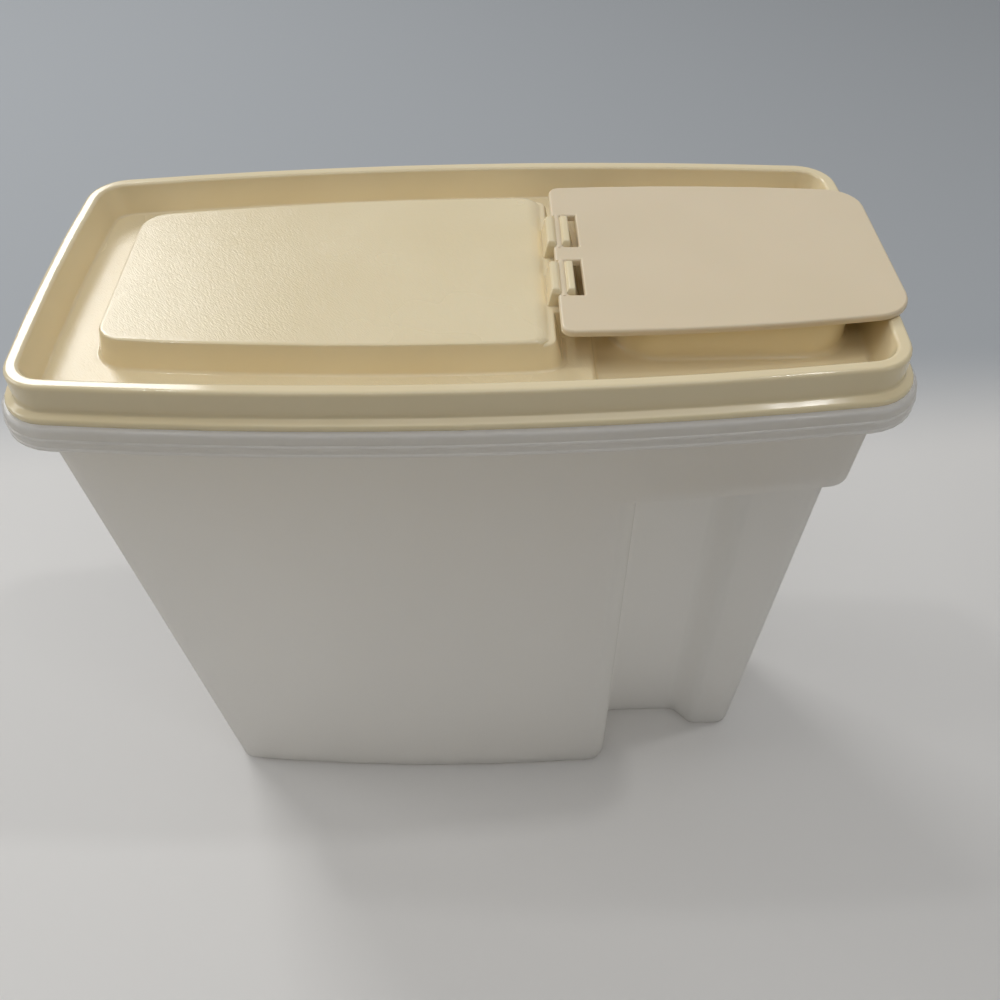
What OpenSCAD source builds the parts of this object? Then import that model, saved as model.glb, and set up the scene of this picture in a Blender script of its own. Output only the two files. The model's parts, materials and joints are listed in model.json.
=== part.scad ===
// Cereal container with a press-on lid and a flip spout, in millimetres.
// The base stands on z = 0, +X points to the spout and grip end. The origin is under the middle of the rim.

/* [Rim plan] */
// Length of the lid's crown from end to end
rim_length = 259; // [252:0.2:264]
// Width of the crown at the middle of its bowed sides
rim_width = 126.2; // [124:0.2:130]
// How far each long side bows outwards between its corners
side_bow = 6; // [5:0.1:7]
// How far each end bows outwards
end_bow = 1.2; // [0.6:0.1:2]
// Corner radius of the crown
rim_corner = 13; // [12:0.5:15]

/* [Container] */
// Height from the table to the top of the crown
crown_z = 227.5; // [215:0.5:245]
// Thickness of the container's walls
wall = 1.6; // [1.4:0.1:2]
// Thickness of the container's floor
floor_t = 2; // [1.8:0.1:2.5]
// Left end of the base
base_left = -107.2; // [-110:0.2:-104]
// Right end of the base
base_right = 112.4; // [110:0.2:115]
// Width of the base at the middle of its bowed sides
base_width = 90.8; // [86:0.2:95]
// How far the base's long sides bow outwards
base_bow = 5.6; // [4.6:0.2:7]
// Corner radius of the base
base_corner = 9; // [7.5:0.5:10]
// Radius round the bottom edge
foot_round = 2.4; // [1.5:0.1:3]
// Depth of the panel under the base, which leaves a standing rim
foot_recess = 0.7; // [0.4:0.1:1]

/* [Grip] */
// Height of the ledge over the grip
ledge_z = 176; // [165:1:185]
// Where the main body ends and the grip begins
grip_start = 54.5; // [50:0.5:58]
// Half the width of the neck between the two finger recesses, at the base
neck_half = 19.2; // [18:0.2:22]
// Half the width of the end column, at the base
column_half = 27; // [25:0.2:29]
// How much the neck and the column widen on each side, up to the ledge
grip_draft = 8.8; // [6:0.2:10]

/* [Lid] */
// Thickness of the soft lid
lid_t = 1.4; // [1.2:0.1:1.6]
// Width of the crown, from its outside to the edge of the tray
crown_width = 4.4; // [4.2:0.1:4.8]
// Depth of the tray below the crown
tray_depth = 10.4; // [10:0.2:12]
// Extra depth of the well round the spout
well_step = 2.2; // [1.8:0.2:3]
// Left end of the raised platform, at its top
platform_left = -106; // [-109:0.5:-100]
// Half the width of the platform at its middle, at its top
platform_half = 40.5; // [38:0.5:42]
// How much narrower each side of the platform is at its left end
platform_taper = 6.4; // [5:0.2:7]
// How far the platform's top lies below the crown
platform_drop = 0.9; // [0.6:0.1:2]
// How much the platform's wall slopes outwards, down to the tray
platform_slope = 2.2; // [1:0.1:2.5]

/* [Spout] */
// Where the hinge axis lies along the lid
hinge_x = 31.3; // [30:0.1:33]
// Height of the hinge axis above the crown
hinge_rise = 1.4; // [1.35:0.05:1.8]
// Radius of the flap's hinge bars
bar_r = 1.25; // [1.15:0.05:1.3]
// Radial play of a hinge bar in its jaws
bar_play = 0.06; // [0.03:0.01:0.09]
// Half the width of the flap where it is widest
flap_half = 40.4; // [39:0.2:42]
// How much narrower each side of the flap is at its tip
flap_taper = 6; // [4:0.2:7]
// Tip of the flap, past the rim
flap_tip = 132; // [130.5:0.1:132.4]
// Thickness of the flap
flap_t = 2.2; // [2:0.1:2.4]
// Left end of the pour collar
collar_left = 46; // [44:0.5:48]
// Right end of the pour collar
collar_right = 117; // [114:0.5:118]
// Half the width of the pour collar
collar_half = 34.8; // [33:0.2:36]
// Corner radius of the pour collar
collar_corner = 14; // [12:0.5:15]

/* [Hidden] */

almond = [0.87, 0.79, 0.63];
flap_almond = [0.88, 0.81, 0.68];
milky = [0.86, 0.88, 0.88, 0.6];

corner_steps = 7;
side_steps = 10;
end_steps = 2;
round_fn = 48;
seam = 0.12;
gap = 0.35;

shelf_drop = 11.85;
shelf_t = 1.6;
flange_out = 4.3;
skirt_drop = 20.1;
skirt_t = 1.3;
bead_r = 0.55;
high_bead = -15.8;
low_bead = -19.1;
lip_out = -lid_t - gap;
lip_t = 1.1;
lip_drop = 3;

shelf_under = crown_z - shelf_drop - shelf_t;
body_left = -126;
body_right = 125.9;
body_width = 120.6;
body_bow = 6.6;
body_corner = 9.2;

main_round = 8;
neck_round = 6;
column_swell = 6;
column_turn = 50;
column_x = 97;
column_round = 7;

crown_round = 1.2;
wall_lean = 14;
lid_foot = 11.5;
hinge_drop = 2.3;
platform_right = 25.4;
deck_right = 28.4;
block_right = 35.6;
block_half = 24;
foot_fillet = 1;
well_left = 39.8;
well_lip = 1.8;
well_fillet = 1.2;
jaw_top = 2.1;
collar_t = 1.5;
collar_top = 0.5;
collar_fillet = 1.8;

bar_z = crown_z + hinge_rise;
flap_left = hinge_x - 1.8;
flap_widest = 45;
flap_top = hinge_rise + flap_t / 2;
flap_bottom = hinge_rise - flap_t / 2;
plate_t = 1.6;
flap_under = flap_top - plate_t;
window_near = 3.8;
window_far = 22.2;
window_length = window_far - window_near;
window_middle = (window_near + window_far) / 2;
window_right = hinge_x + 6;
jaw_side_gap = 0.9;
plug_depth = 7.2;
plug_draft = 0.9;
plug_t = 1.4;

function mix(a, b, t) = a + (b - a) * t;

function reversed(list) = [for (i = [len(list) - 1:-1:0]) list[i]];

function tail(list) = [for (i = [1:len(list) - 1]) list[i]];

function at_height(outline, z) = [for (p = outline) [p[0], p[1], z]];

// Points of an arc round c, from angle a0 to angle a1
function arc(c, r, a0, a1, steps) =
    [for (i = [0:steps]) let (a = mix(a0, a1, i / steps)) c + r * [cos(a), sin(a)]];

// Radius of the circle whose arc rises by bow over half a chord
function bow_radius(half_chord, bow) = (half_chord * half_chord + bow * bow) / (2 * bow);

// Closed outline with bowed sides, bowed ends and round corners, anticlockwise from its right end's middle
function bowed_outline(x0, x1, width, bow, bow_end, corner) =
    let (
        middle = (x0 + x1) / 2,
        cx = (x1 - x0) / 2 - corner - bow_end,
        cy = width / 2 - corner - bow,
        rs = bow_radius(cx, bow),
        re = bow_radius(cy, bow_end),
        ts = asin(cx / rs),
        te = asin(cy / re),
        right = concat(
            arc([cx + bow_end - re, 0], re + corner, 0, te, end_steps),
            tail(arc([cx, cy], corner, te, 90 - ts, corner_steps)),
            tail(arc([0, cy + bow - rs], rs + corner, 90 - ts, 90, side_steps / 2))
        ),
        left = [for (p = tail(reversed(right))) [-p[0], p[1]]],
        upper = concat(right, left),
        lower = [for (i = [len(upper) - 2:-1:1]) [upper[i][0], -upper[i][1]]]
    )
    [for (p = concat(upper, lower)) p + [middle, 0]];

// Outline that runs parallel to the crown's outer edge, moved out by u
function rim_outline(u) =
    let (half = rim_length / 2 + u)
    bowed_outline(-half, half, rim_width + 2 * u, side_bow, end_bow, rim_corner + u);

// One corner of a path, cut back by reach and rounded
function soft_corner(a, b, c, reach, steps) =
    reach == 0 ? [b] :
    let (
        da = (a - b) / norm(a - b),
        dc = (c - b) / norm(c - b),
        half = acos(da * dc) / 2,
        centre = b + (da + dc) / norm(da + dc) * reach / cos(half),
        spoke = b + da * reach - centre,
        turn = (da[0] * dc[1] - da[1] * dc[0] > 0 ? -1 : 1) * (180 - 2 * half)
    )
    [for (i = [0:steps]) let (t = turn * i / steps)
        centre + [spoke[0] * cos(t) - spoke[1] * sin(t), spoke[0] * sin(t) + spoke[1] * cos(t)]];

// Rounds a closed path whose entries are [x, y, reach]
function soft_path(path, steps = 6) =
    let (n = len(path), flat = [for (p = path) [p[0], p[1]]])
    [for (i = [0:n - 1])
        each soft_corner(flat[(i + n - 1) % n], flat[i], flat[(i + 1) % n], path[i][2], steps)];

// Outline from x0 to x1 that is widest at mid and narrower by taper at a distance of reach from there, with
// corners cut back by r0 and r1
function barrel_outline(x0, x1, half, mid, taper, reach, r0, r1, steps = 6) =
    let (lower = [for (i = [0:steps]) let (x = mix(x0, x1, i / steps))
        [x, taper * ((x - mid) / reach) ^ 2 - half, i == 0 ? r0 : i == steps ? r1 : 0]])
    soft_path(concat(lower, [for (p = reversed(lower)) [p[0], -p[1], p[2]]]));

// Closed solid through a list of rings that all have the same number of points, each in sight of its first
module loft(rings) {
    n = len(rings[0]);
    top = n * (len(rings) - 1);
    polyhedron(
        points = [for (ring = rings) each ring],
        faces = concat(
            [[for (i = [0:n - 1]) i]],
            [for (k = [0:len(rings) - 2], i = [0:n - 1]) each [
                [k * n + i, (k + 1) * n + i, (k + 1) * n + (i + 1) % n],
                [k * n + i, (k + 1) * n + (i + 1) % n, k * n + (i + 1) % n]
            ]],
            [[for (i = [n:-1:1]) top + i % n]]
        )
    );
}

// Rings parallel to the rim through a profile of [outwards, up from the crown]
function rim_rings(profile) = [for (p = profile) at_height(rim_outline(p[0]), crown_z + p[1])];

// Prism over an outline, between two heights counted from the crown
module slab(outline, low, high) {
    translate([0, 0, crown_z + low])
        linear_extrude(high - low)
            polygon(outline);
}

// How far the round bottom edge pulls a wall in at height z
function foot_pull(z) = z >= foot_round ? 0 : foot_round - sqrt(foot_round ^ 2 - (foot_round - z) ^ 2);

// Outline of the plain body at height z, moved in by skin
function body_outline(z, skin) =
    let (t = z / shelf_under, pull = skin + foot_pull(z))
    bowed_outline(
        mix(base_left, body_left, t) + pull,
        mix(base_right, body_right, t) - pull,
        mix(base_width, body_width, t) - 2 * pull,
        mix(base_bow, body_bow, t),
        end_bow,
        mix(base_corner, body_corner, t) - pull
    );

// Half the width of the body at height z and place x
function body_half(z, x) =
    let (
        t = z / shelf_under,
        left = mix(base_left, body_left, t),
        right = mix(base_right, body_right, t),
        bow = mix(base_bow, body_bow, t),
        r = bow_radius((right - left) / 2 - mix(base_corner, body_corner, t) - end_bow, bow)
    )
    mix(base_width, body_width, t) / 2 - ((x - (left + right) / 2) ^ 2) / (2 * r);

// Plan of a finger recess on the -Y side at height z, grown into the body by skin
function grip_outline(z, skin) =
    let (
        t = z / ledge_z,
        g = skin + foot_pull(z),
        neck = neck_half + grip_draft * t,
        column = column_half + grip_draft * t,
        front = body_half(z, grip_start - main_round) + seam,
        end = mix(base_right, body_right, z / shelf_under) - end_bow / 3 + seam,
        rise = column - neck - 2 * column_swell * (1 - cos(column_turn)),
        run = 2 * column_swell * sin(column_turn) + rise / tan(column_turn)
    )
    concat(
        [[end + 10, -2 * front], [end + front, -2 * front], [end + front, column_round - column]],
        arc([end - column_round, column_round - column], column_round - g, 0, -90, 5),
        arc([column_x, column_swell - column], column_swell - g, -90, -90 - column_turn, 3),
        arc([column_x - run, -neck - column_swell], column_swell + g, 90 - column_turn, 90, 3),
        arc([grip_start + neck_round, -neck - neck_round], neck_round + g, 90, 180, 5),
        arc([grip_start - main_round, main_round - front], main_round - g, 0, -90, 6),
        [[grip_start - main_round, -2 * front]]
    );

// The two finger recesses, up to the ledge at height top
module grip_spaces(top, skin) {
    low = at_height(grip_outline(0, skin), -1);
    rings = [for (z = [0, foot_round / 4, foot_round, top]) at_height(grip_outline(z, skin), z)];
    for (side = [0, 1])
        mirror([0, side, 0])
            loft(concat([low], rings));
}

// From under the shelf, round the skirt and its two beads, up to the top of the sealing lip
function flange_profile() =
    let (inside = flange_out - skirt_t, under = -shelf_drop - shelf_t)
    concat(
        arc([inside - 1, under - 1], 1, 90, 0, 3),
        [[inside, -skirt_drop], [flange_out - 0.2, -skirt_drop]],
        arc([flange_out - 0.1, low_bead], bead_r, -80, 80, 5),
        [[flange_out - 0.2, low_bead + 1.2], [flange_out - 0.2, high_bead - 1.1]],
        arc([flange_out, high_bead], bead_r, -80, 90, 5),
        arc([flange_out - 1.1, -shelf_drop - 1.1], 1.1, 0, 90, 4),
        [[lip_out, -shelf_drop], [lip_out, -lip_drop - 0.4], [lip_out - 0.35, -lip_drop]]
    );

// Shallow panel under the main body
module foot_panel() {
    rim = 6;
    width = base_width - 2.2 * rim;
    translate([0, 0, -1])
        linear_extrude(1 + foot_recess)
            polygon(bowed_outline(base_left + rim, grip_start - rim, width, base_bow, end_bow, 5));
}

module container() {
    floor_fillet = 1.8;
    floor_levels = [[floor_t, floor_fillet], [floor_t + 0.5, floor_fillet / 3], [floor_t + floor_fillet, 0]];
    lip_in = lip_out - lip_t;
    outside = concat(
        [for (z = [0, foot_round / 4, foot_round, shelf_under]) at_height(body_outline(z, 0), z)],
        rim_rings(flange_profile())
    );
    inside = concat(
        [for (level = floor_levels) at_height(body_outline(level[0], wall + level[1]), level[0])],
        [at_height(body_outline(shelf_under, wall), shelf_under)],
        rim_rings([[lip_in - 0.1, -shelf_drop], [lip_in, -lip_drop - 0.4], [lip_in + 0.5, -lip_drop + 0.1],
            [lip_in + 0.5, 1]])
    );
    color(milky)
        difference() {
            loft(outside);
            grip_spaces(ledge_z, 0);
            foot_panel();
            difference() {
                loft(inside);
                grip_spaces(ledge_z + wall, wall);
            }
        }
}

// How far outside the crown's edge the tray's leaning wall stands, at a height of z over the crown
function tray_wall(z) =
    crown_round - crown_width - crown_round / cos(wall_lean) + tan(wall_lean) * (z + crown_round);

// From the underside of the tray, round the slot, the skirt and the crown, to the floor of the tray
function lid_profile() =
    let (
        tray_round = 1,
        slot_r = (crown_width - 2 * lid_t) / 2 - 0.05,
        slot_x = -lid_t - slot_r,
        floor_z = -tray_depth + tray_round,
        floor_x = tray_wall(floor_z) - tray_round / cos(wall_lean),
        under_x = tray_wall(-tray_depth) + lid_t
    )
    concat(
        [[under_x + 0.2, -tray_depth - lid_t], [under_x + 0.35, -tray_depth - lid_t + 0.5]],
        arc([slot_x, -lid_t - 0.25 - slot_r], slot_r, 170, 0, 5),
        arc([0.6, -8.4], 2, 180, 235, 3),
        arc([0.85, -10.95], 0.9, 75, 0, 3),
        [[1.75, -lid_foot]],
        arc([2.25, -lid_foot + 0.5], 0.5, -90, 0, 2),
        arc([1.4, -10.6], 1.35, 0, 60, 3),
        arc([1.3, -7.8], 1.3, 235, 180, 3),
        arc([-1.3, -1.3], 1.3, 0, 90, 4),
        arc([crown_round - crown_width, -crown_round], crown_round, 90, 180 - wall_lean, 4),
        arc([floor_x, floor_z], tray_round, -wall_lean, -90, 3)
    );

// Heights over a foot of radius r, with how far the concave fillet there stands out
function fillet_levels(foot, r) = [for (h = [0, 0.13, 0.5, 1]) [foot + h * r, r - r * sqrt(1 - (1 - h) ^ 2)]];

// Heights and outward growth of a raised block's wall, from low, over a fillet on the tray, to its soft edge
function block_levels(drop, low, skin) =
    let (
        edge = 1,
        slope = platform_slope / (tray_depth - platform_drop),
        fillet = skin > 0 ? [] : fillet_levels(-tray_depth, foot_fillet),
        top_edge = [[-drop - edge, 0], [-drop - edge * 0.3, -edge * 0.3], [-drop, -edge]],
        levels = concat([[low, skin > 0 ? 0 : foot_fillet]], fillet, top_edge)
    )
    [for (level = levels) [level[0] - (level[0] == low ? 0 : skin),
        level[1] + slope * max(-drop - level[0], 0) - skin]];

// Plan of the long raised platform, grown by grow
function platform_outline(right, grow) =
    barrel_outline(platform_left - grow, right + grow, platform_half + grow, 0, platform_taper,
        -platform_left, 8 + grow, 3.5 + grow);

// Platform, or its lower deck beside the flap, with every face moved in by skin
module platform_form(right, drop, low, skin) {
    loft([for (level = block_levels(drop, low, skin))
        at_height(platform_outline(right, level[1]), crown_z + level[0])]);
}

// Block under the flap that carries the hinge jaws, with every face moved in by skin
module hinge_block(low, skin) {
    loft([for (level = block_levels(hinge_drop, low, skin))
        let (y = block_half + level[1], x = block_right + level[1], r = 2.5 + level[1])
        at_height(soft_path([[platform_right, -y, 0], [x, -y, r], [x, y, r], [platform_right, y, 0]]),
            crown_z + level[0])]);
}

// Space over the part of the tray that lies lower, round the spout, moved in by skin. Its walls run on from
// the tray's, a fillet rounds its foot and a lip rounds the tray's edge
module well_block(skin, low, high, fillet, lip) {
    edge = well_left + skin;
    foot = fillet == 0 ? [[low, 0]] : fillet_levels(low, fillet);
    intersection() {
        loft([for (level = concat(foot, [[high, 0]]))
            at_height(rim_outline(tray_wall(level[0]) - seam / 3 - skin - level[1]), crown_z + level[0])]);
        translate([0, rim_width, crown_z])
            rotate([90, 0, 0])
                linear_extrude(2 * rim_width)
                    polygon(concat(
                        [for (level = reversed(foot)) [edge + level[1], level[0]]],
                        [[rim_length, low], [rim_length, high], [edge - lip, high]],
                        lip == 0 ? [] : arc([edge - lip, -tray_depth - lip], lip, 90, 0, 5)
                    ));
    }
}

// Plan of the pour collar, moved in by skin
function collar_outline(skin) =
    let (x0 = collar_left + skin, x1 = collar_right - skin, y = collar_half - skin, r = collar_corner - skin)
    soft_path([[x0, -y, r], [x1, -y, r], [x1, y, r], [x0, y, r]]);

// Snap jaws of a hinge clip, as a profile about its axis: one upright, one leaning, and the mouth between
module jaw_profile() {
    base = -hinge_rise - hinge_drop - 0.3;
    edge = 0.3;
    throat = 0.8;
    mouth = [[1.9, jaw_top], [1.5, jaw_top - edge], [throat, 1], [throat, -1], [throat + edge, base]];
    upright = [[3.4, base], [3.4, jaw_top - edge], [3.4 - edge, jaw_top]];
    leaning = [[-4.9, base], [-3.8, 1.2], [-3.5, jaw_top - edge], [-3.5 + edge, jaw_top]];
    difference() {
        union() {
            polygon(concat(upright, mouth));
            polygon(concat(leaning, [for (p = mouth) [-p[0], p[1]]]));
        }
        circle(r = bar_r + bar_play, $fn = round_fn);
    }
}

// The four jaws. Their ends are bevelled towards the top, in steps of [how far in, height over the axis]
module hinge_jaws() {
    half = window_length / 2 - jaw_side_gap;
    bevels = [[0, -5], [0, 0.5], [0.9, 1.7], [1.5, jaw_top + 1]];
    reach = 6;
    intersection() {
        beside_axis(2 * half) jaw_profile();
        for (side = [-1, 1])
            translate([hinge_x - reach, side * window_middle, bar_z])
                rotate([90, 0, 90])
                    linear_extrude(2 * reach)
                        polygon(concat(
                            [for (p = bevels) [half - p[0], p[1]]],
                            [for (p = reversed(bevels)) [p[0] - half, p[1]]]
                        ));
    }
}

// Draws a profile along the hinge axis, once over each window of the flap
module beside_axis(length) {
    for (side = [-1, 1])
        translate([hinge_x, side * window_middle + length / 2, bar_z])
            rotate([90, 0, 0])
                linear_extrude(length)
                    children();
}

module lid() {
    under = -tray_depth - lid_t;
    well_floor = -tray_depth - well_step;
    collar_levels = concat(
        [[well_floor - lid_t / 2, collar_fillet]],
        fillet_levels(well_floor, collar_fillet),
        [[collar_top - 0.4, 0], [collar_top, -0.4]]
    );
    color(almond) {
        difference() {
            union() {
                loft(rim_rings(lid_profile()));
                platform_form(platform_right, platform_drop, under + 0.5, 0);
                platform_form(deck_right, hinge_drop, under + 0.5, 0);
                hinge_block(under + 0.5, 0);
            }
            platform_form(platform_right, platform_drop, under - 1, lid_t);
            platform_form(deck_right, hinge_drop, under - 1, lid_t);
            hinge_block(under - 1, lid_t);
            well_block(0, under - 1, -tray_depth + 1.1, 0, well_lip);
        }
        difference() {
            well_block(-lid_t, well_floor - lid_t, -tray_depth - 0.3, 0, 0);
            well_block(0, well_floor, 0, well_fillet, well_lip);
            slab(collar_outline(collar_t), well_floor - lid_t - 1, 0);
        }
        difference() {
            loft([for (level = collar_levels)
                at_height(collar_outline(-level[1]), crown_z + level[0])]);
            slab(collar_outline(collar_t), well_floor - lid_t, collar_top + 1);
        }
        hinge_jaws();
    }
}

// Plan of the flap, moved in by skin, from x0 on
function flap_outline(skin, x0 = flap_left, r0 = 3.5) =
    barrel_outline(x0 + skin, flap_tip - skin, flap_half - skin, flap_widest, flap_taper,
        flap_tip - flap_widest, r0 - skin, 10 - skin);

module flap_plate() {
    edge = 0.9;
    loft(concat(
        [for (h = [0, 0.3]) at_height(flap_outline(0.3 - h), crown_z + flap_bottom + h)],
        [for (a = [0, 25, 50, 70, 90])
            at_height(flap_outline(edge - edge * cos(a)), crown_z + flap_top - edge + edge * sin(a))]
    ));
}

module flap_windows() {
    for (side = [-1, 1])
        translate([flap_left - 1, side * window_middle - window_length / 2, crown_z])
            cube([window_right - flap_left + 1, window_length, 5]);
}

module plug_ring() {
    outer = collar_t + gap;
    difference() {
        loft([
            at_height(collar_outline(outer + plug_draft), crown_z + flap_under - plug_depth),
            at_height(collar_outline(outer), crown_z + flap_under + 0.5)
        ]);
        slab(collar_outline(outer + plug_t + plug_draft), flap_under - plug_depth - 1, flap_under);
    }
}

module flap() {
    edge_wall = 1.5;
    color(flap_almond) {
        difference() {
            flap_plate();
            slab(flap_outline(edge_wall, window_right, 4), -1, flap_under);
            flap_windows();
        }
        beside_axis(window_length + 1) circle(r = bar_r, $fn = round_fn);
        plug_ring();
    }
}

container();
lid();
flap();
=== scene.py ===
# %% [markdown]
# # A cereal container with a flip spout
#
# A tall, tapered tub of milky plastic holds the cereal. A softer, almond-coloured lid presses over its
# rim, and a flap on two snap hinges closes the spout. Each of the three is one injection moulding, so the
# frame that this lesson loads has three nodes: `container`, `lid` and `flap`. What is left for Blender is
# what a moulding shop adds to a shape: soft edges, the gate where the plastic came in, polish, grain, and
# the way that light goes into it.

# %% Load the frame
import bpy
import bmesh
import json
import math
from mathutils import Matrix, Vector


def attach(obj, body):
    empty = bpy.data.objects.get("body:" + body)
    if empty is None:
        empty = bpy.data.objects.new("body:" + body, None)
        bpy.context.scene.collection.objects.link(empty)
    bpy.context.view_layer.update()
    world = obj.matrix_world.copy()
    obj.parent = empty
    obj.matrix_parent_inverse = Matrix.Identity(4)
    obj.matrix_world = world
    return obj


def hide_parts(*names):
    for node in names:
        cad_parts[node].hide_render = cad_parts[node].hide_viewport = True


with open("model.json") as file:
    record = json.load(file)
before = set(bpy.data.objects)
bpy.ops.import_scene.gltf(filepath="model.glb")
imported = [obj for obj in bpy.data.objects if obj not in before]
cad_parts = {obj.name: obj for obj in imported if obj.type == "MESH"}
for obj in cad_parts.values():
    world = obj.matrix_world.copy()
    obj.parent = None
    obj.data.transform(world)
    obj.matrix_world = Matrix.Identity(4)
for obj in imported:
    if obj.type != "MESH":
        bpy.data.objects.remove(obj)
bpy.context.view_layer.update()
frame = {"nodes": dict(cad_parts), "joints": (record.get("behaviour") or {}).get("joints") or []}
MM = 0.001

# %% [markdown]
# ## The camera
#
# The photograph was taken by hand from above the near long side. A camera fitted to it looks down by about
# 46 degrees, with hardly any turn to the side and a slight roll. Its focal length is known in picture
# widths, which the sensor's width turns into millimetres.

# %% Put the camera where the photograph was taken
SENSOR_MM = 36.0
FOCAL_IN_WIDTHS = 1.0367
CAMERA_PLACE = Vector((10.2, -278.7, 407.8)) * MM
LOOK_DOWN, TURN_RIGHT, ROLL = (math.radians(v) for v in (45.864, 0.189, -1.122))

camera_data = bpy.data.cameras.new("camera")
camera_data.sensor_width = SENSOR_MM
camera_data.lens = SENSOR_MM * FOCAL_IN_WIDTHS
camera = bpy.data.objects.new("camera", camera_data)
bpy.context.scene.collection.objects.link(camera)
camera.location = CAMERA_PLACE
aim = Matrix.Rotation(-TURN_RIGHT, 4, "Z") @ Matrix.Rotation(math.pi / 2 - LOOK_DOWN, 4, "X")
camera.rotation_euler = (aim @ Matrix.Rotation(ROLL, 4, "Z")).to_euler()
bpy.context.scene.camera = camera
print("lens", round(camera_data.lens, 2), "mm")

# %% [markdown]
# ## Smooth copies of the mouldings
#
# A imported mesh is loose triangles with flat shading, so every round corner would show facets in its
# reflections. The shape itself is right, which makes remodelling it needless work. So each node is copied,
# the doubled points are merged, and triangles that lie in one plane are dissolved into one face. Then the
# shading is smoothed, except over the edges that are crisp on the real moulding.

# %% Merge, dissolve and smooth a copy
MERGE = 0.002 * MM
FLAT = math.radians(0.4)
CRISP = math.radians(35)


def merged_copy(node):
    """A bmesh of a node's surface, joined up and with its flat areas as single faces."""
    bm = bmesh.new()
    bm.from_mesh(frame["nodes"][node].data)
    bmesh.ops.remove_doubles(bm, verts=bm.verts, dist=MERGE)
    bmesh.ops.dissolve_limit(bm, angle_limit=FLAT, verts=bm.verts, edges=bm.edges, delimit=set())
    return bm


def count_open(bm):
    """How many edges lack one of their two faces: none on a closed form."""
    return sum(len(edge.link_faces) != 2 for edge in bm.edges)


def finish_piece(bm, name):
    """Turns a bmesh into a piece with smooth faces and crisp edges, and says what it holds."""
    for face in bm.faces:
        face.smooth = True
    for edge in bm.edges:
        edge.smooth = edge.calc_face_angle(0) < CRISP
    open_edges = count_open(bm)
    mesh = bpy.data.meshes.new(name)
    bm.to_mesh(mesh)
    bm.free()
    piece = bpy.data.objects.new(name, mesh)
    bpy.context.scene.collection.objects.link(piece)
    normals = piece.modifiers.new("even shading", "WEIGHTED_NORMAL")
    normals.keep_sharp = True
    print(name, len(mesh.polygons), "faces,", open_edges, "open edges")
    return piece


tub_form, lid_form, flap_form = (merged_copy(node) for node in ("container", "lid", "flap"))
print("faces after merging", [len(bm.faces) for bm in (tub_form, lid_form, flap_form)])

# %% [markdown]
# ## The snap jaws
#
# Each of the flap's two bars is held by a pair of jaws: one stands upright under the flap's window, the
# other leans against it from the platform's side. They spring apart when the bar is pressed in, so they
# are stout, with round shoulders and slanted ends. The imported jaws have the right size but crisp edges,
# and their many short edges would stop a bevel. They are cut off the lid's copy, the holes in the hinge
# block are filled, and new ones are modelled: the seat of the bar is a vertex spun round the hinge axis,
# the rest of the profile is a few vertices, and extrude, bisect and bevel do the rest.

# %% Cut the crisp jaws off the lid's copy
hinge = next(joint for joint in frame["joints"] if joint["name"] == "flap_hinge")
HINGE_X, _, HINGE_Z = (place / MM for place in hinge["pos_m"])
BLOCK_TOP = 225.2
WINDOW_NEAR, WINDOW_FAR = 3.8, 22.2
JAW_REACH = (26.0, 35.0)
SLACK = 0.05


def in_jaws(vert):
    """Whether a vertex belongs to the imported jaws, down to their feet on the hinge block."""
    x, y, z = vert.co / MM
    beside = JAW_REACH[0] < x < JAW_REACH[1] and WINDOW_NEAR < abs(y) < WINDOW_FAR
    return beside and z > BLOCK_TOP - SLACK


def above_block(face):
    """Whether a face rises above the hinge block."""
    return max(vert.co.z for vert in face.verts) > (BLOCK_TOP + SLACK) * MM


old_jaws = [face for face in lid_form.faces if all(in_jaws(v) for v in face.verts) and above_block(face)]
bmesh.ops.delete(lid_form, geom=old_jaws, context="FACES")
rims = [edge for edge in lid_form.edges if edge.is_boundary]
patches = bmesh.ops.holes_fill(lid_form, edges=rims, sides=0)["faces"]
for patch in patches:
    if patch.normal.z < 0:
        patch.normal_flip()
print("removed", len(old_jaws), "faces and closed", len(patches), "holes")

# %% Model four jaws with soft shoulders
SEAT_R = 1.31
SEAT_FROM, SEAT_TO = math.radians(-52.2), math.radians(51.2)
SEAT_STEPS = 12
JAW_FOOT, JAW_TOP = -4.0, 2.1
JAW_CLEARANCE = 0.9
JAW_HALF = (WINDOW_FAR - WINDOW_NEAR) / 2 - JAW_CLEARANCE
UPRIGHT = ((1.6, JAW_TOP), (3.4, JAW_TOP), (3.4, JAW_FOOT), (1.1, JAW_FOOT))
LEANING = ((1.6, JAW_TOP), (3.3, JAW_TOP), (3.8, 1.2), (4.9, JAW_FOOT), (1.1, JAW_FOOT))
SHOULDER = 0.45
SLANT_FROM, SLANT_ALONG, SLANT_UP = 0.5, 0.85, 0.53
CONVEX = math.radians(20)
Y_AXIS = Vector((0, 1, 0))


def only(kind, items):
    """Those of a list's mesh elements that are of one kind."""
    return [item for item in items if isinstance(item, kind)]


def everything(bm):
    """All vertices, edges and faces of a mesh."""
    return bm.verts[:] + bm.edges[:] + bm.faces[:]


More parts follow.
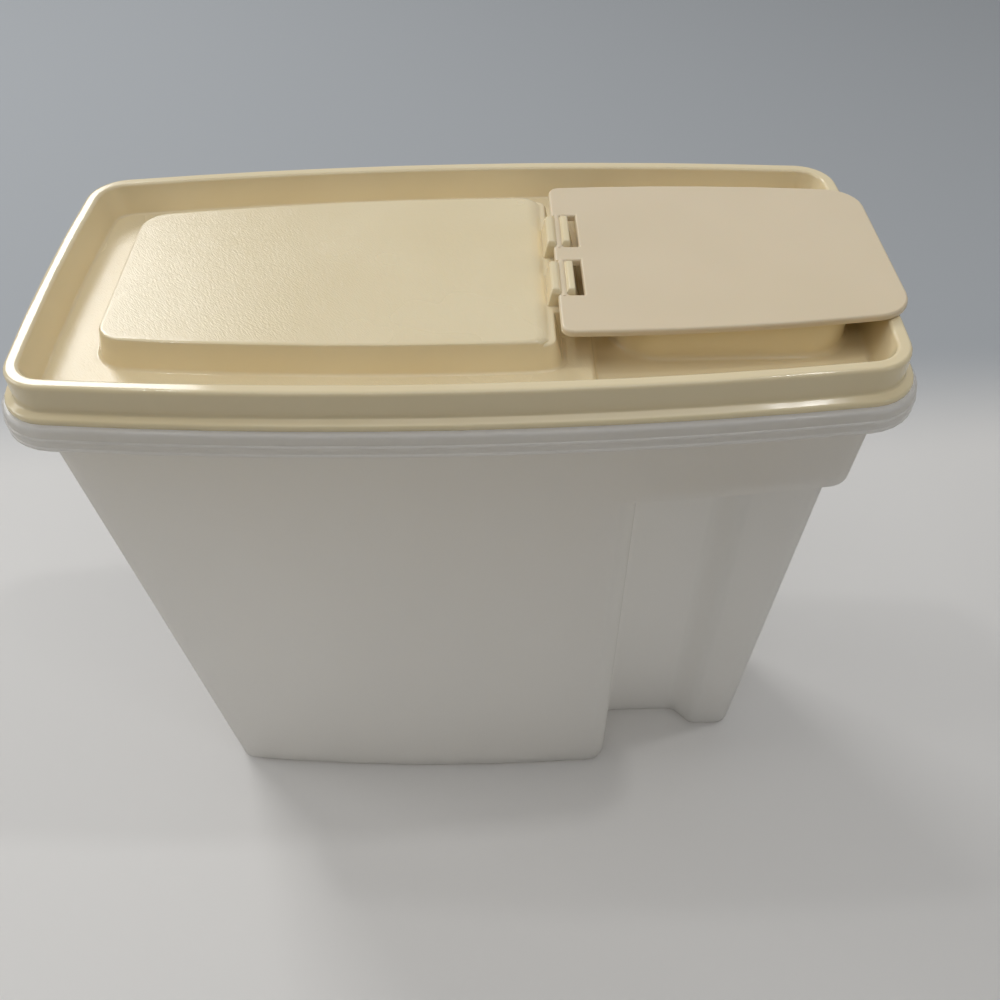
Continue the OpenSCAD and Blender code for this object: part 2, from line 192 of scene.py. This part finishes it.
def jaw_form(bm, outline, middle):
    """One jaw to the right of the hinge axis, with its middle at a place along the axis."""
    start = Vector((SEAT_R * math.cos(SEAT_FROM), 0, SEAT_R * math.sin(SEAT_FROM)))
    first = bm.verts.new(start)
    spun = bmesh.ops.spin(bm, geom=[first], cent=(0, 0, 0), axis=-Y_AXIS, angle=SEAT_TO - SEAT_FROM,
                          steps=SEAT_STEPS, use_merge=False)
    last = only(bmesh.types.BMVert, spun["geom_last"])[0]
    seat_edges = [edge for edge in bm.edges if edge.is_wire]
    ring = [last] + [bm.verts.new((x, 0, z)) for x, z in outline] + [first]
    seat_edges += [bm.edges.new(pair) for pair in zip(ring, ring[1:])]
    face = bmesh.ops.edgeloop_fill(bm, edges=seat_edges)["faces"][0]
    bmesh.ops.translate(bm, verts=face.verts, vec=Y_AXIS * (middle - JAW_HALF))
    pulled = bmesh.ops.extrude_face_region(bm, geom=[face], use_keep_orig=True)["geom"]
    bmesh.ops.translate(bm, verts=only(bmesh.types.BMVert, pulled), vec=Y_AXIS * 2 * JAW_HALF)


def slant_ends(bm, middle):
    """Cuts both ends of a jaw back towards its top."""
    for side in (-1, 1):
        cut = bmesh.ops.bisect_plane(bm, geom=everything(bm), clear_outer=True,
                                     plane_co=(0, middle + side * JAW_HALF, SLANT_FROM),
                                     plane_no=(0, side * SLANT_ALONG, SLANT_UP))
        bmesh.ops.holes_fill(bm, edges=only(bmesh.types.BMEdge, cut["geom_cut"]), sides=0)


def soft_shoulders(bm):
    """Bevels every convex edge of a jaw that is neither in the seat nor at the foot."""
    bmesh.ops.recalc_face_normals(bm, faces=bm.faces)

    def soft(edge):
        clear = all(math.hypot(v.co.x, v.co.z) > SEAT_R + SLACK for v in edge.verts)
        foot = all(v.co.z < JAW_FOOT + SLACK for v in edge.verts)
        return clear and not foot and edge.calc_face_angle_signed(0) > CONVEX

    bmesh.ops.bevel(bm, geom=[edge for edge in bm.edges if soft(edge)], offset=SHOULDER, segments=3,
                    profile=0.5, affect="EDGES", clamp_overlap=True, material=-1)


def snap_jaws():
    """All four jaws, at their places over the hinge block."""
    whole = bmesh.new()
    for side in (-1, 1):
        middle = side * (WINDOW_NEAR + WINDOW_FAR) / 2
        for outline, turned in ((UPRIGHT, False), (LEANING, True)):
            bm = bmesh.new()
            jaw_form(bm, outline, middle)
            slant_ends(bm, middle)
            soft_shoulders(bm)
            if turned:
                bmesh.ops.scale(bm, verts=bm.verts, vec=(-1, 1, 1))
            bmesh.ops.recalc_face_normals(bm, faces=bm.faces)
            part = bpy.data.meshes.new("jaw")
            bm.to_mesh(part)
            bm.free()
            whole.from_mesh(part)
            bpy.data.meshes.remove(part)
    bmesh.ops.scale(whole, verts=whole.verts, vec=(MM, MM, MM))
    bmesh.ops.translate(whole, verts=whole.verts, vec=Vector((HINGE_X, 0, HINGE_Z)) * MM)
    return whole


jaws = finish_piece(snap_jaws(), "snap_jaws")

# %% [markdown]
# ## The end of the platform and the step into the well
#
# Towards the hinge the platform falls 1.4 mm to the hinge block in one soft roll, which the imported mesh
# has as a tight corner. A bevel would be stopped by the short edges where the corner turns, so its four
# rows of points are slid along instead: the upper rows back, the lowest one out. Between tray and well the
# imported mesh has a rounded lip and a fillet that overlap, which leaves a groove of a few tenths of a
# millimetre, seen as a dark line. Its points are merged, and what is left is the plain soft step of the
# real lid.

# %% Soften the platform's end
PLATFORM_TOP, TRAY_FLOOR = 226.6, 217.1
ARC_FROM, END_TO = 19.0, 25.9
ROLL_ROWS = ((PLATFORM_TOP, -2.2), (226.3, -0.9))
FOOT_ROWS = ((225.6, 0.1), (BLOCK_TOP, 0.6))
FOOT_FROM, FOOT_Y, FOOT_FADE = 24.6, 39.1, 1.4
ON_ROW = 0.02

moved = 0
for vert in lid_form.verts:
    x, y, z = vert.co / MM
    for level, slide in ROLL_ROWS:
        if abs(z - level) < ON_ROW and ARC_FROM < x < END_TO:
            vert.co.x += slide * MM
            moved += 1
    for level, slide in FOOT_ROWS:
        if abs(z - level) < ON_ROW and FOOT_FROM < x < END_TO and abs(y) < FOOT_Y:
            vert.co.x += slide * min(1.0, (FOOT_Y - abs(y)) / FOOT_FADE) * MM
            moved += 1
print("slid", moved, "points of the platform's end")

# %% Close the groove at the step into the well
STEP_X, STEP_Y, STEP_Z = 39.78, 55.18, 215.78
GROOVE_WIDE, GROOVE_HIGH = 0.1, 0.55


def in_groove(vert, side):
    """Whether a vertex lies at one end of the groove."""
    x, y, z = vert.co / MM
    return abs(x - STEP_X) < GROOVE_WIDE and abs(z - STEP_Z) < GROOVE_HIGH and side * y > 0


for side in (-1, 1):
    groove = [vert for vert in lid_form.verts if in_groove(vert, side)]
    bmesh.ops.pointmerge(lid_form, verts=groove, merge_co=Vector((STEP_X, side * STEP_Y, STEP_Z)) * MM)
    print("merged", len(groove), "points into one")
print("open edges", count_open(lid_form))

# %% [markdown]
# ## The flap's windows and the gates
#
# The flap's two windows leave the jaws room to turn in. Their rims are rounded a little, so that they come
# out of the tool and don't scratch. The bar's short arc edges would stop that bevel, so a cut is made just
# past the bar, and only the rims beyond it are rounded. Every moulding also has a gate, the spot where the
# plastic was let in. It is a small round pip in a place that is out of sight: under the tub, under the
# lid's platform and under the flap. A short cone is bevelled round its end and dimpled by an inset.

# %% Round the rims of the flap's windows
FLAP_TOP = 230.0
WINDOW_RIM = 0.75
PAST_BAR_X = 33.0
STEEP = math.radians(60)


def by_window(vert):
    """Whether a vertex lies beside a window on the flap's top face, past the hinge bar."""
    x, y, z = vert.co / MM
    on_top = z > FLAP_TOP - ON_ROW and x > PAST_BAR_X - ON_ROW
    return on_top and WINDOW_NEAR - SLACK < abs(y) < WINDOW_FAR + SLACK


bmesh.ops.bisect_plane(flap_form, geom=everything(flap_form), plane_co=(PAST_BAR_X * MM, 0, 0),
                       plane_no=(1, 0, 0))
rims = [edge for edge in flap_form.edges
        if all(by_window(vert) for vert in edge.verts) and edge.calc_face_angle(0) > STEEP]
print("rounding window edges of", [round(edge.calc_length() / MM, 1) for edge in rims], "mm")
bmesh.ops.bevel(flap_form, geom=rims, offset=WINDOW_RIM * MM, segments=4, profile=0.5, affect="EDGES",
                clamp_overlap=False, material=-1)

# %% Model a gate pip for each moulding
FLOOR_UNDERSIDE, PLATFORM_UNDERSIDE, FLAP_UNDERSIDE = 0.7, 225.2, 228.4
PIP_HEIGHT, PIP_SUNK = 0.45, 0.2
PIP_TAPER, PIP_RIM = 0.86, 0.15
DIMPLE_INSET, DIMPLE_DEPTH = 0.4, 0.12


def crown_of(bm):
    """The one face of a pip that looks straight up."""
    return max(bm.faces, key=lambda face: face.normal.z * face.calc_area())


def gate_pip(name, x, underside, radius):
    """A low round pip with a soft rim and a dimple that hangs under a moulding, all in millimetres."""
    bm = bmesh.new()
    bmesh.ops.create_cone(bm, cap_ends=True, segments=40, radius1=radius, radius2=radius * PIP_TAPER,
                          depth=PIP_HEIGHT + PIP_SUNK)
    bmesh.ops.bevel(bm, geom=list(crown_of(bm).edges), offset=PIP_RIM, segments=3, profile=0.5,
                    affect="EDGES", clamp_overlap=True, material=-1)
    crown = crown_of(bm)
    bmesh.ops.inset_individual(bm, faces=[crown], thickness=radius * DIMPLE_INSET)
    bmesh.ops.translate(bm, verts=list(crown.verts), vec=(0, 0, -DIMPLE_DEPTH))
    bmesh.ops.rotate(bm, verts=bm.verts, cent=(0, 0, 0), matrix=Matrix.Rotation(math.pi, 3, "X"))
    bmesh.ops.translate(bm, verts=bm.verts, vec=(x, 0, underside - (PIP_HEIGHT - PIP_SUNK) / 2))
    bmesh.ops.scale(bm, verts=bm.verts, vec=(MM, MM, MM))
    return finish_piece(bm, name)


tub_gate = gate_pip("tub_gate", 0, FLOOR_UNDERSIDE, 1.6)
lid_gate = gate_pip("lid_gate", -40, PLATFORM_UNDERSIDE, 1.2)
flap_gate = gate_pip("flap_gate", 80, FLAP_UNDERSIDE, 1.2)

# %% Finish the three shells
tub = finish_piece(tub_form, "tub")
lid = finish_piece(lid_form, "lid_shell")
flap = finish_piece(flap_form, "flap_shell")

# %% [markdown]
# ## Helpers for materials
#
# Colours are written as sRGB hex, as a paint program shows them, and turned to the linear values that
# shaders compute with. One small function adds a node, sets its values and makes its links.

# %% Colour and node helpers
def linear(hex_colour):
    """An sRGB hex colour as linear RGBA."""
    channels = [int(hex_colour[i:i + 2], 16) / 255 for i in (1, 3, 5)]
    return [c / 12.92 if c <= 0.04045 else ((c + 0.055) / 1.055) ** 2.4 for c in channels] + [1.0]


def add(tree, kind, settings=None, **inputs):
    """Adds a node. Each input is a value or a socket to link. Its name has _ for a space, or is _2 for
    number 2."""
    node = tree.nodes.new(kind)
    for key, value in (settings or {}).items():
        setattr(node, key, value)
    for key, value in inputs.items():
        socket = node.inputs[int(key[1:])] if key[1:].isdigit() else node.inputs[key.replace("_", " ")]
        if isinstance(value, bpy.types.NodeSocket):
            tree.links.new(value, socket)
        else:
            socket.default_value = value
    return node


def new_material(name):
    """An empty node material, its tree and the place on the object that its patterns are drawn on."""
    material = bpy.data.materials.new(name)
    material.use_nodes = True
    tree = material.node_tree
    tree.nodes.clear()
    return material, tree, add(tree, "ShaderNodeTexCoord").outputs["Object"]


def show(tree, shader):
    """Sends a shader to the material's output."""
    add(tree, "ShaderNodeOutputMaterial", Surface=shader.outputs[0])


print("almond, #e7d1a2, is", [round(c, 3) for c in linear("#e7d1a2")], "in linear light")

# %% [markdown]
# ## Almond polyethylene, polished and grained
#
# The lid is low-density polyethylene, soft enough to be pressed over the rim. Its IOR is 1.51. It is
# coloured in the mass, and light goes a few millimetres into it, which warms the shadows and keeps thin
# walls bright. Most of the mould was polished, so walls and crown shine, with the slight waviness of a
# soft plastic that shrank as it cooled. The flat faces were etched with a fine grain that hides scratches:
# it breaks the mirror image of a softbox up into a wide, sparkling haze. The grain is about 0.2 mm wide in
# truth, too fine to show, and is drawn 0.3 mm wide. Both finishes share one function, and the grain is
# left out of one of them.

# %% Finishes of the lid
GRAIN_MM, GRAIN_STRETCH, GRAIN_TURN = 0.3, 4.5, math.radians(-50)
GRAIN_DEPTH_MM = 0.075
WAVE_MM, WAVE_DEPTH_MM = 14.0, 0.12
CLOUD_MM = 45.0


def soft_variation(tree, place, low, high, size_mm):
    """A slow drift between two numbers over the piece."""
    cloud = add(tree, "ShaderNodeTexNoise", Vector=place, Scale=1 / (size_mm * MM), Detail=2.0)
    return add(tree, "ShaderNodeMapRange", {"interpolation_type": "SMOOTHERSTEP"}, Value=cloud.outputs[0],
               From_Min=0.15, From_Max=0.85, To_Min=low, To_Max=high).outputs[0]


def drifting_colour(tree, place, shade, tint, size_mm):
    """A colour that drifts a little between two hex values, as pigment mixed in the mass does."""
    share = soft_variation(tree, place, 0.0, 1.0, size_mm)
    mix = add(tree, "ShaderNodeMix", {"data_type": "RGBA"}, _0=share, _6=linear(shade), _7=linear(tint))
    return mix.outputs[2]


def grain_relief(tree, place, size_mm, stretch, turn, depth_mm, below=None):
    """A bump of fine grain, drawn out along one way in the plane, on top of another bump."""
    along = add(tree, "ShaderNodeMapping", {"vector_type": "TEXTURE"}, Vector=place, Rotation=(0, 0, turn),
                Scale=(stretch, 1, 1))
    noise = add(tree, "ShaderNodeTexNoise", Vector=along.outputs[0], Scale=1 / (size_mm * MM), Detail=1.0)
    links = {"Normal": below} if below else {}
    return add(tree, "ShaderNodeBump", Height=noise.outputs[0], Distance=depth_mm * MM, **links).outputs[0]


def almond_polyethylene(name, rough, grained):
    """Low-density polyethylene, as it comes off a polished mould or off an etched one."""
    material, tree, place = new_material(name)
    waves = add(tree, "ShaderNodeTexNoise", Vector=place, Scale=1 / (WAVE_MM * MM), Detail=1.0)
    relief = add(tree, "ShaderNodeBump", Height=waves.outputs[0], Distance=WAVE_DEPTH_MM * MM).outputs[0]
    if grained:
        relief = grain_relief(tree, place, GRAIN_MM, GRAIN_STRETCH, GRAIN_TURN, GRAIN_DEPTH_MM, relief)
    show(tree, add(
        tree, "ShaderNodeBsdfPrincipled", Normal=relief, IOR=1.51, Subsurface_Weight=0.12,
        Subsurface_Radius=(1.0, 0.8, 0.55), Subsurface_Scale=3.0 * MM,
        Base_Color=drifting_colour(tree, place, "#ebdab3", "#efdfba", CLOUD_MM),
        Roughness=soft_variation(tree, place, rough - 0.03, rough + 0.03, CLOUD_MM)))
    return material


polished = almond_polyethylene("almond_polyethylene_polished", 0.13, False)
grained = almond_polyethylene("almond_polyethylene_grained", 0.26, True)
print("grain of", GRAIN_MM, "mm, drawn out", GRAIN_STRETCH, "times")

# %% Put the grain on the lid's flat faces
GRAIN_FALL = 0.3
ALMOST_UP = 0.98


def on_grained_face(face):
    """Whether a face lies flat, or almost, on top of the platform or on the tray's floor."""
    height = face.center.z / MM
    on_level = any(level - GRAIN_FALL < height < level + SLACK for level in (PLATFORM_TOP, TRAY_FLOOR))
    return face.normal.z > ALMOST_UP and on_level


for piece in (lid, jaws, lid_gate):
    piece.data.materials.append(polished)
lid.data.materials.append(grained)
for face in lid.data.polygons:
    face.material_index = int(on_grained_face(face))
grained_area = sum(face.area for face in lid.data.polygons if face.material_index)
print("grained area", round(grained_area / MM ** 2 / 100), "square centimetres")

# %% [markdown]
# ## Almond polypropylene for the flap
#
# The flap has to stay flat and to carry its bars, so it is stiffer polypropylene, IOR 1.49. Its tool was
# spark eroded, which leaves a fine, even matt all over. The pits are about 0.1 mm wide in truth: too fine
# to show, so they are drawn 0.5 mm wide.

# %% Finish of the flap
SPARK_MM, SPARK_DEPTH_MM = 0.5, 0.02
FLAP_WAVE_MM, FLAP_WAVE_DEPTH_MM = 28.0, 0.15


def spark_matt_polypropylene():
    """Stiff almond plastic off a spark-eroded tool: even, fine and dull."""
    material, tree, place = new_material("almond_polypropylene_spark_matt")
    waves = add(tree, "ShaderNodeTexNoise", Vector=place, Scale=1 / (FLAP_WAVE_MM * MM), Detail=1.0)
    height = waves.outputs[0]
    relief = add(tree, "ShaderNodeBump", Height=height, Distance=FLAP_WAVE_DEPTH_MM * MM).outputs[0]
    show(tree, add(
        tree, "ShaderNodeBsdfPrincipled", IOR=1.49, Subsurface_Weight=0.12,
        Subsurface_Radius=(1.0, 0.7, 0.4), Subsurface_Scale=2.0 * MM,
        Normal=grain_relief(tree, place, SPARK_MM, 1.0, 0.0, SPARK_DEPTH_MM, relief),
        Base_Color=drifting_colour(tree, place, "#e3d2b3", "#e7d6b8", CLOUD_MM),
        Roughness=soft_variation(tree, place, 0.33, 0.4, CLOUD_MM)))
    return material


spark_matt = spark_matt_polypropylene()
for piece in (flap, flap_gate):
    piece.data.materials.append(spark_matt)

# %% [markdown]
# ## Milky polypropylene for the tub
#
# The tub is natural polypropylene with no pigment. Its crystals scatter light, so a wall 1.6 mm thick is
# milky: bright where light falls through it from behind, and grey-white elsewhere. Three quarters of the
# light are let through without direction by a Translucent shader, and the rest meets a satin Principled
# surface with an IOR of 1.49. Glass or plain transparency would show the far wall through the near one,
# which the real tub doesn't. The mix also takes three quarters of the gloss away, and a full specular
# level and a smooth coat give part of it back. Faint flow marks run down the walls, the way the melt ran
# from the gate.

# %% Finish of the tub
FLOW_MM, FLOW_DEPTH_MM = 9.0, 0.02
FLOW_SQUEEZE = 0.12
SATIN_DEPTH_MM = 0.006


def milky_polypropylene():
    """Unpigmented plastic whose walls let scattered light through."""
    material, tree, place = new_material("milky_polypropylene")
    down = add(tree, "ShaderNodeMapping", Vector=place, Scale=(1, 1, FLOW_SQUEEZE))
    flow = add(tree, "ShaderNodeTexNoise", Vector=down.outputs[0], Scale=1 / (FLOW_MM * MM), Detail=3.0)
    relief = add(tree, "ShaderNodeBump", Height=flow.outputs[0], Distance=FLOW_DEPTH_MM * MM).outputs[0]
    relief = grain_relief(tree, place, SPARK_MM, 1.0, 0.0, SATIN_DEPTH_MM, relief)
    surface = add(
        tree, "ShaderNodeBsdfPrincipled", Normal=relief, IOR=1.49, Specular_IOR_Level=1.0, Coat_Weight=1.0,
        Coat_Roughness=0.1, Base_Color=drifting_colour(tree, place, "#f9f9f8", "#fbfaf9", CLOUD_MM),
        Roughness=soft_variation(tree, place, 0.28, 0.36, CLOUD_MM))
    through = add(tree, "ShaderNodeBsdfTranslucent", Color=linear("#fdfcfa"), Normal=relief)
    share = add(tree, "ShaderNodeMapRange", Value=flow.outputs[0], From_Min=0.3, From_Max=0.7, To_Min=0.73,
                To_Max=0.78)
    show(tree, add(tree, "ShaderNodeMixShader", Fac=share.outputs[0], _1=surface.outputs[0],
                   _2=through.outputs[0]))
    return material


milky = milky_polypropylene()
for piece in (tub, tub_gate):
    piece.data.materials.append(milky)

# %% [markdown]
# ## Riding with the bodies
#
# Each shell stands for its node, which stays in the frame for its collision shapes. The jaws and the gates
# are parts of the same mouldings, so they ride with them and take the same finish.

# %% Hide the nodes and let the pieces ride with the bodies
for shell, node in ((tub, "container"), (lid, "lid"), (flap, "flap")):
    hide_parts(node)
for pieces, body, slot in (((tub, tub_gate), "container", "translucent_body"),
                           ((lid, jaws, lid_gate), "lid", "lid_plastic"),
                           ((flap, flap_gate), "flap", "flap_plastic")):
    for piece in pieces:
        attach(piece, body)
print("pieces", [piece.name for piece in (tub, lid, flap, jaws, tub_gate, lid_gate, flap_gate)])

# %% [markdown]
# ## Floor and backdrop
#
# A wide floor carries the container. Further back its colour turns to a cool grey, by place on the floor:
# this is painted shade, standing for a wall in shade, so that the pale rim stands out. An upright backdrop
# would stand in the way of the views from behind.

# %% Floor
FLOOR_HALF = 4.0
# From the second number back the floor is grey: painted shade of a wall.
PALE_TO, PAINTED_SHADE_FROM = 0.14, 0.25


def floor_finish():
    """A matt floor that is pale round the container, with painted shade of a wall: grey further back."""
    material, tree, place = new_material("floor_with_painted_shade")
    back = add(tree, "ShaderNodeSeparateXYZ", Vector=place).outputs["Y"]
    share = add(tree, "ShaderNodeMapRange", {"interpolation_type": "SMOOTHSTEP"}, Value=back,
                From_Min=PALE_TO, From_Max=PAINTED_SHADE_FROM)
    # The grey is painted shade, standing for a wall in shade behind the container.
    tone = add(tree, "ShaderNodeMix", {"data_type": "RGBA"}, _0=share.outputs[0], _6=linear("#e6e4e1"),
               _7=linear("#b2b6ba"))
    show(tree, add(tree, "ShaderNodeBsdfPrincipled", Base_Color=tone.outputs[2], Roughness=0.85))
    return material


bm = bmesh.new()
bmesh.ops.create_grid(bm, x_segments=2, y_segments=2, size=FLOOR_HALF)
floor_mesh = bpy.data.meshes.new("floor")
bm.to_mesh(floor_mesh)
bm.free()
floor_mesh.materials.append(floor_finish())
floor = bpy.data.objects.new("floor", floor_mesh)
bpy.context.scene.collection.objects.link(floor)
print("floor", 2 * FLOOR_HALF, "m wide")

# %% [markdown]
# ## Light
#
# The light in the photograph is broad and soft from behind on the left, where it draws a pale haze over
# the platform's end, and small lamps overhead draw the thin glints along edges and beads. Softboxes stand
# in for all of them. The world is a plain room, bright behind and dark in front: polished faces that lean
# back mirror its bright half, and those that lean towards the camera keep their depth. Seen straight by
# the camera, the room is an even pale grey from all sides. The powers were set so that the flap, the
# platform and the tub come out as bright as they are in the photograph.

# %% Softboxes and world
AIM = Vector((0, 0, 0.2))


def softbox(name, place, size, watts):
    """A rectangular lamp at a place in metres, turned towards the middle of the container's upper half."""
    data = bpy.data.lights.new(name, "AREA")
    data.shape = "RECTANGLE"
    data.size, data.size_y = size
    data.energy = watts
    lamp = bpy.data.objects.new(name, data)
    lamp.location = place
    lamp.visible_camera = False
    lamp.rotation_euler = (AIM - Vector(place)).to_track_quat("-Z", "Y").to_euler()
    bpy.context.scene.collection.objects.link(lamp)


softbox("behind_left", (-0.85, 1.15, 1.15), (0.6, 0.45), 7.8)
softbox("left", (-1.5, 0.1, 0.9), (0.8, 0.6), 5.6)
softbox("overhead", (0.05, -0.36, 1.5), (1.0, 0.6), 3.2)
softbox("high_front", (0.1, -1.0, 1.3), (1.6, 0.5), 1.9)
softbox("low_right", (1.25, -0.9, 0.8), (0.4, 0.4), 1.3)
softbox("lamp_left", (-0.55, 0.2, 1.5), (0.07, 0.07), 1.2)
softbox("lamp_right", (0.6, 0.0, 1.6), (0.07, 0.07), 2.0)

ROOM_FRONT, ROOM_BACK = 0.02, 0.48
BACKDROP = 0.45
world = bpy.data.worlds.new("room")
world.use_nodes = True
background = world.node_tree.nodes["Background"]
background.inputs["Color"].default_value = linear("#f2f4f6")
sky = world.node_tree
towards = add(sky, "ShaderNodeSeparateXYZ", Vector=add(sky, "ShaderNodeTexCoord").outputs["Generated"])
glow = add(sky, "ShaderNodeMapRange", {"interpolation_type": "SMOOTHSTEP"}, Value=towards.outputs["Y"],
           From_Min=-0.6, From_Max=0.9, To_Min=ROOM_FRONT, To_Max=ROOM_BACK)
straight = add(sky, "ShaderNodeLightPath").outputs["Is Camera Ray"]
strength = add(sky, "ShaderNodeMix", _0=straight, _2=glow.outputs[0], _3=BACKDROP)
sky.links.new(strength.outputs[0], background.inputs["Strength"])
bpy.context.scene.world = world
bpy.context.scene.view_settings.view_transform = "Standard"
